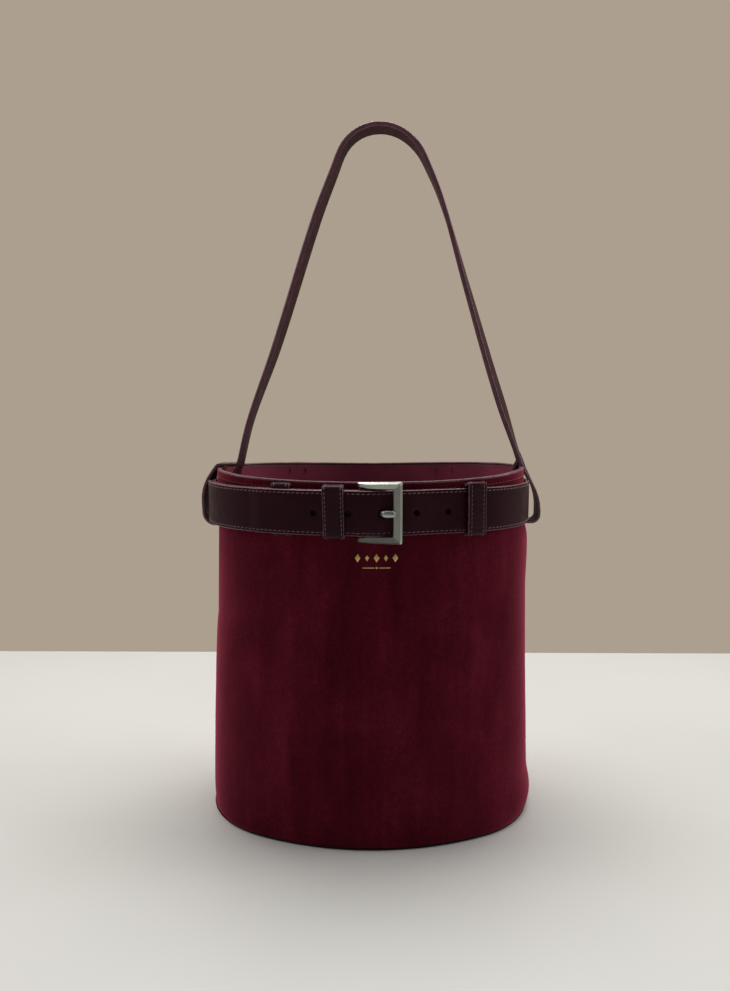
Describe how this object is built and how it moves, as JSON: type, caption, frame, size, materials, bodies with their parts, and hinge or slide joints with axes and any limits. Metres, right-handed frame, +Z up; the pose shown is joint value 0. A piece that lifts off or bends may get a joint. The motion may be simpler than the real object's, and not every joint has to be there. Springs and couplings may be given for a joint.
{
  "type": "bucket bag",
  "caption": "Stiffened oval suede bucket bag, open at the top, with a buckled leather belt below the rim, a sliding keeper and a leather strap that folds down to either side.",
  "frame": {"origin": "centre of the flat base, on the surface the bag stands on", "axes": "+Z up, -Y towards the buckle at the front, +X to the right seen from the front"},
  "size_m": [0.258, 0.1769, 0.5158],
  "materials": {
    "suede": "napped, matte",
    "belt_leather": "smooth, satin",
    "facing_leather": "smooth, satin",
    "lining_cloth": "woven, matte",
    "board": "leatherboard, matte",
    "edge_paint": "painted edge",
    "buckle_metal": "satin"
  },
  "bodies": {
    "bag": {"front_panel": "suede", "back_panel": "suede", "wall_stiffener": "board", "rim_facing": "facing_leather", "lining_wall": "lining_cloth", "rim_edge": "edge_paint", "base_panel": "suede", "base_board": "board", "base_lining": "lining_cloth", "base_welt": "belt_leather", "carrier_front_right": "belt_leather", "carrier_front_left": "belt_leather", "carrier_back_right": "belt_leather", "carrier_back_left": "belt_leather", "belt_face": "belt_leather", "belt_backing": "belt_leather", "side_loop_right": "belt_leather", "side_loop_left": "belt_leather"},
    "buckle_frame": {"buckle_frame": "buckle_metal", "buckle_bar": "buckle_metal"},
    "prong": {"buckle_prong": "buckle_metal"},
    "keeper": {"belt_keeper": "belt_leather"},
    "strap_lower": {"strap_leg_right_backing": "belt_leather", "strap_leg_left_backing": "belt_leather", "strap_leg_right_face": "belt_leather", "strap_leg_left_face": "belt_leather"},
    "strap_upper": {"strap_arch_backing": "belt_leather", "strap_arch_face": "belt_leather"}
  },
  "joints": [
    {"name": "frame_lift", "type": "hinge", "parent": "bag", "child": "buckle_frame", "pos_m": [-0.0062, -0.08279, 0.24], "axis": [0, 0, -1], "range_deg": [0, 3]},
    {"name": "prong_lift", "type": "hinge", "parent": "buckle_frame", "child": "prong", "pos_m": [-0.0062, -0.08279, 0.24], "axis": [0, 0, -1], "range_deg": [0, 2]},
    {"name": "keeper_slide", "type": "hinge", "parent": "bag", "child": "keeper", "pos_m": [0, 0.10014, 0.24], "axis": [0, 0, 1], "range_deg": [-4.7, 1.1]},
    {"name": "strap_swing", "type": "hinge", "parent": "bag", "child": "strap_lower", "pos_m": [0.00675, 0, 0.2805], "axis": [1, 0, 0], "range_deg": [-90, 90]},
    {"name": "strap_fold", "type": "hinge", "parent": "strap_lower", "child": "strap_upper", "pos_m": [0.00675, 0, 0.3755], "axis": [1, 0, 0], "range_deg": [-90, 90]}
  ]
}
